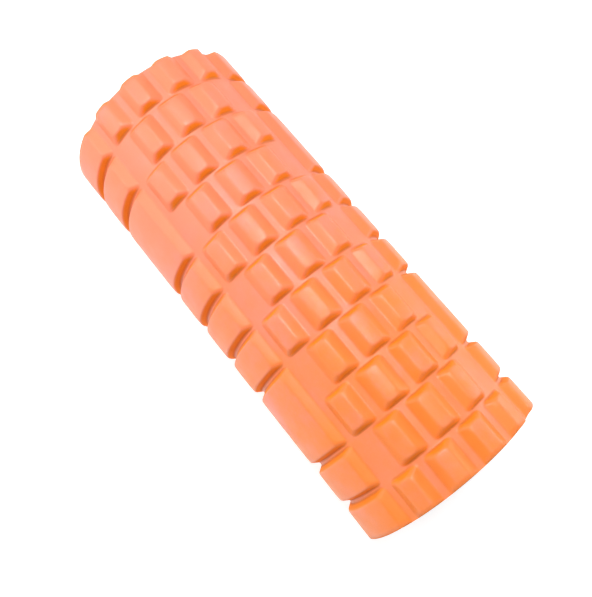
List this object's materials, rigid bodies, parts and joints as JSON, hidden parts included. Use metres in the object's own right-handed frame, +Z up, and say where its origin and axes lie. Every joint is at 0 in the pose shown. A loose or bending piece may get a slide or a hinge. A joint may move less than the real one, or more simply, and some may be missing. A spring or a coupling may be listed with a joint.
{
  "type": "textured foam roller",
  "caption": "Hollow cylindrical massage roller: a foam sleeve with staggered small blocks and wide smooth blocks, glued round a rigid open-ended core tube.",
  "frame": {"origin": "middle of the line on which the roller rests when it lies on its side: bottom centre of its box, 70 mm below the middle of its axis", "axes": "+X along the roller's axis, +Z up when it lies on its side with a zone of small blocks on top, +Y through the middle of a zone of wide blocks"},
  "size_m": [0.33, 0.14, 0.14],
  "materials": {
    "eva_foam": "closed-cell EVA foam with a fine matt moulded skin",
    "core_plastic": "extruded black plastic pipe, satin",
    "contact_adhesive": "dried amber contact adhesive"
  },
  "bodies": {
    "root": {"foam_sleeve": "eva_foam", "core_tube": "core_plastic", "sleeve_adhesive": "contact_adhesive", "seam_adhesive": "contact_adhesive"}
  },
  "joints": []
}
